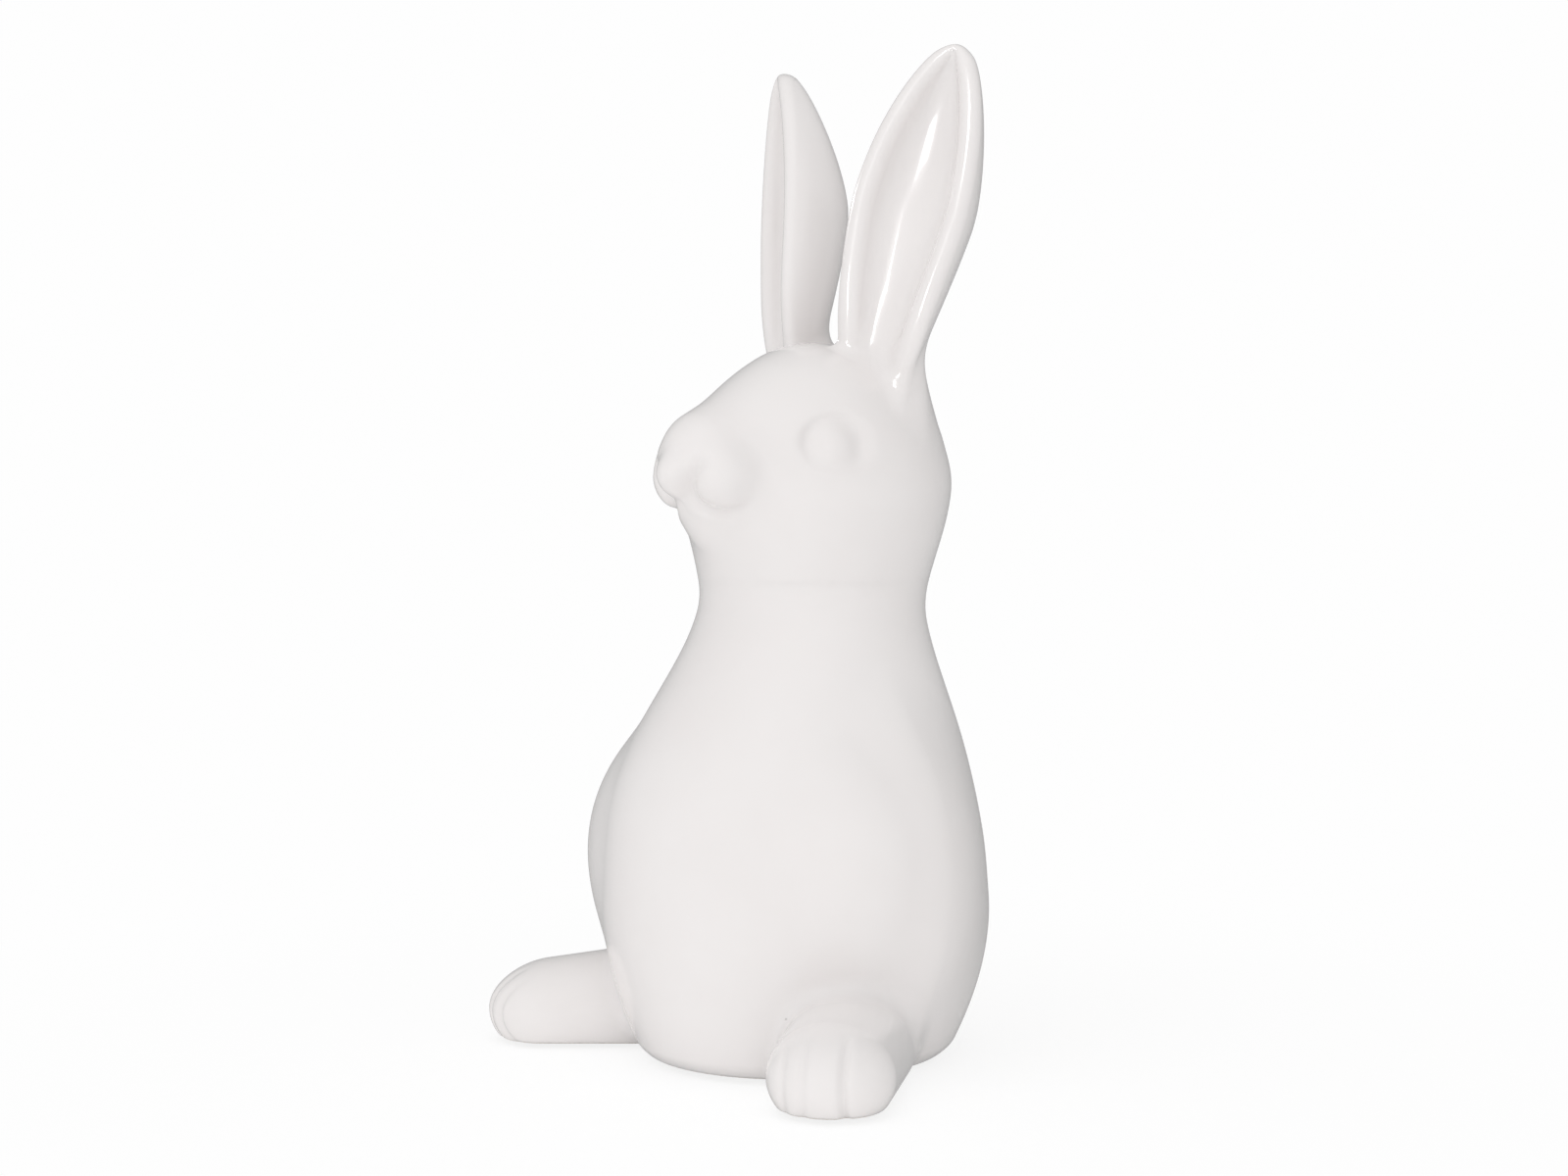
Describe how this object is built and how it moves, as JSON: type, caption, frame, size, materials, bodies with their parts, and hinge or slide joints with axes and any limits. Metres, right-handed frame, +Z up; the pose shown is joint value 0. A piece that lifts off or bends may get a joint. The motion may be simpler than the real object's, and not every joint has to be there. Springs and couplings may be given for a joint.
{
  "type": "ceramic rabbit figurine",
  "caption": "Glazed ceramic rabbit sitting upright with raised ears and splayed hind feet, hollow, on felt dots.",
  "frame": {"origin": "on the table, at the middle of the footprint between the toes and the tail", "axes": "+Z up through the ears, -Y the way the rabbit faces, +X the rabbit's left side"},
  "size_m": [0.1418, 0.1071, 0.2508],
  "materials": {
    "glaze": "gloss",
    "felt": "matte"
  },
  "bodies": {
    "root": {"torso_shell": "glaze", "head_shell": "glaze", "left_ear": "glaze", "right_ear": "glaze", "left_foot": "glaze", "right_foot": "glaze", "tail": "glaze", "left_toe_felt": "felt", "right_toe_felt": "felt", "left_rump_felt": "felt", "right_rump_felt": "felt"}
  },
  "joints": []
}
